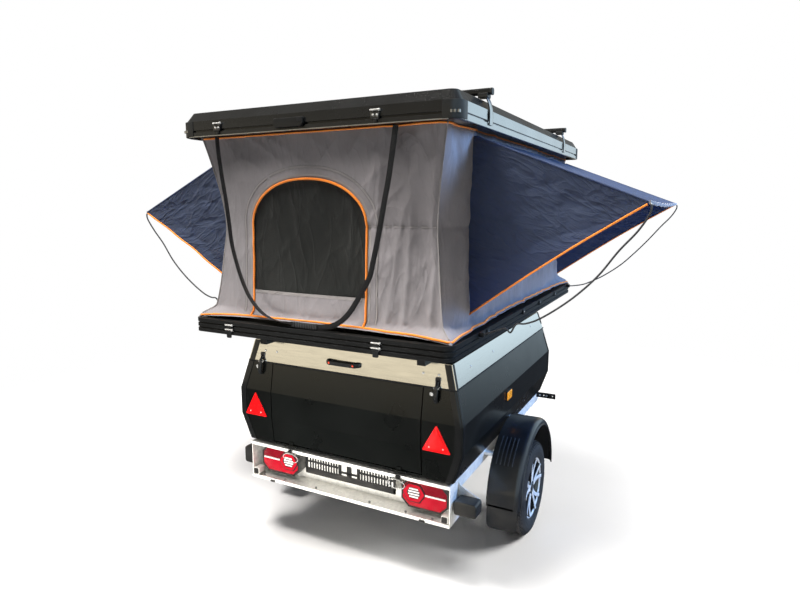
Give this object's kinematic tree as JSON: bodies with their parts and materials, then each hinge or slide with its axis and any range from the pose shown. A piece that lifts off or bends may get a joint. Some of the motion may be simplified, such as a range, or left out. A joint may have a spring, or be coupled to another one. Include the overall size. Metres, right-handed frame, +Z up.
{
  "type": "camping box trailer with roof tent",
  "caption": "Box trailer for camping: faceted black load box on a galvanised chassis, its lid carrying an opened pop-up roof tent with side awnings.",
  "frame": {"origin": "on the ground under the middle of the whole outline", "axes": "+X to the trailer's right, +Y forward along the drawbar, +Z up"},
  "size_m": [2.7158, 3.13, 2.298],
  "materials": {
    "galvanised": "hot-dip galvanised steel",
    "black_panel": "glossy black sandwich panel",
    "silver_skirt": "satin anodised aluminium",
    "black_profile": "black powder coat, satin",
    "tent_cloth": "grey polycotton canvas",
    "mesh_cloth": "black insect mesh",
    "awning_cloth": "dark slate coated canvas",
    "webbing": "black polyester webbing",
    "lamp_red": "red lens plastic",
    "reflector_red": "red prismatic reflector",
    "reflector_amber": "amber prismatic reflector",
    "black_plastic": "moulded black plastic",
    "latch_metal": "black coated latch steel",
    "tyre_rubber": "road tyre rubber",
    "alloy": "black alloy wheel with machined faces",
    "axle_steel": "black painted axle parts",
    "zinc_steel": "zinc plated steel",
    "jockey_rubber": "solid rubber tread",
    "rod_steel": "spring steel rod"
  },
  "bodies": {
    "trailer": {"chassis_frame": "galvanised", "drawbar": "galvanised", "coupling_head": "zinc_steel", "axle_beam": "galvanised", "suspension_arms": "axle_steel", "body_floor": "black_panel", "side_wall_left": "black_panel", "side_wall_right": "black_panel", "front_wall": "black_panel", "rear_panel_left": "black_panel", "rear_panel_right": "black_panel", "bumper_carrier": "galvanised", "rear_lamps": "lamp_red", "plate_holder": "black_plastic", "triangle_reflectors": "reflector_red", "side_reflectors": "reflector_amber", "mudguard_left": "black_plastic", "mudguard_right": "black_plastic", "corner_buffers": "black_plastic", "side_brackets": "latch_metal", "jockey_clamp": "zinc_steel"},
    "wheel_left": {"tyre_left": "tyre_rubber", "rim_left": "alloy"},
    "wheel_right": {"tyre_right": "tyre_rubber", "rim_right": "alloy"},
    "tailgate": {"tailgate": "black_panel"},
    "lid": {"lid_shell": "silver_skirt", "lid_handle": "black_plastic", "lid_latches": "black_plastic", "tent_carrier": "black_profile", "tent_tray": "black_profile", "tray_latches": "latch_metal", "tent_wall_rear": "tent_cloth", "tent_wall_front": "tent_cloth", "tent_wall_left": "tent_cloth", "tent_wall_right": "tent_cloth", "tent_door": "mesh_cloth", "awning_left": "awning_cloth", "awning_right": "awning_cloth", "awning_rods_left": "rod_steel", "awning_rods_right": "rod_steel", "pull_strap": "webbing"},
    "roof": {"roof_shell": "black_profile", "roof_bars": "black_profile", "shell_latches": "latch_metal"},
    "jockey_stem": {"jockey_stem": "zinc_steel"},
    "jockey_fork": {"jockey_fork": "zinc_steel"},
    "jockey_wheel": {"jockey_wheel": "jockey_rubber"}
  },
  "joints": [
    {"name": "wheel_left_spin", "type": "hinge", "parent": "trailer", "child": "wheel_left", "pos_m": [-0.714, -0.547, 0.261], "axis": [1, 0, 0], "continuous": true},
    {"name": "wheel_right_spin", "type": "hinge", "parent": "trailer", "child": "wheel_right", "pos_m": [0.714, -0.547, 0.261], "axis": [1, 0, 0], "continuous": true},
    {"name": "tailgate_hinge", "type": "hinge", "parent": "trailer", "child": "tailgate", "pos_m": [0, -1.287, 0.569], "axis": [1, 0, 0], "range_deg": [0, 90]},
    {"name": "lid_hinge", "type": "hinge", "parent": "trailer", "child": "lid", "pos_m": [0, 0.291, 1], "axis": [-1, 0, 0], "range_deg": [0, 45]},
    {"name": "roof_lift", "type": "slide", "parent": "lid", "child": "roof", "axis": [0, 0, -1], "range_m": [0, 0.858], "deforming": ["tent_wall_rear", "tent_wall_front", "tent_wall_left", "tent_wall_right", "tent_door", "awning_left", "awning_right", "awning_rods_left", "awning_rods_right", "pull_strap"]},
    {"name": "jockey_lift", "type": "slide", "parent": "trailer", "child": "jockey_stem", "axis": [0, 0, 1], "range_m": [0, 0.16]},
    {"name": "jockey_swivel", "type": "hinge", "parent": "jockey_stem", "child": "jockey_fork", "pos_m": [0, 1.02, 0.25], "axis": [0, 0, 1], "continuous": true},
    {"name": "jockey_spin", "type": "hinge", "parent": "jockey_fork", "child": "jockey_wheel", "pos_m": [0, 0.975, 0.1], "axis": [1, 0, 0], "continuous": true}
  ]
}
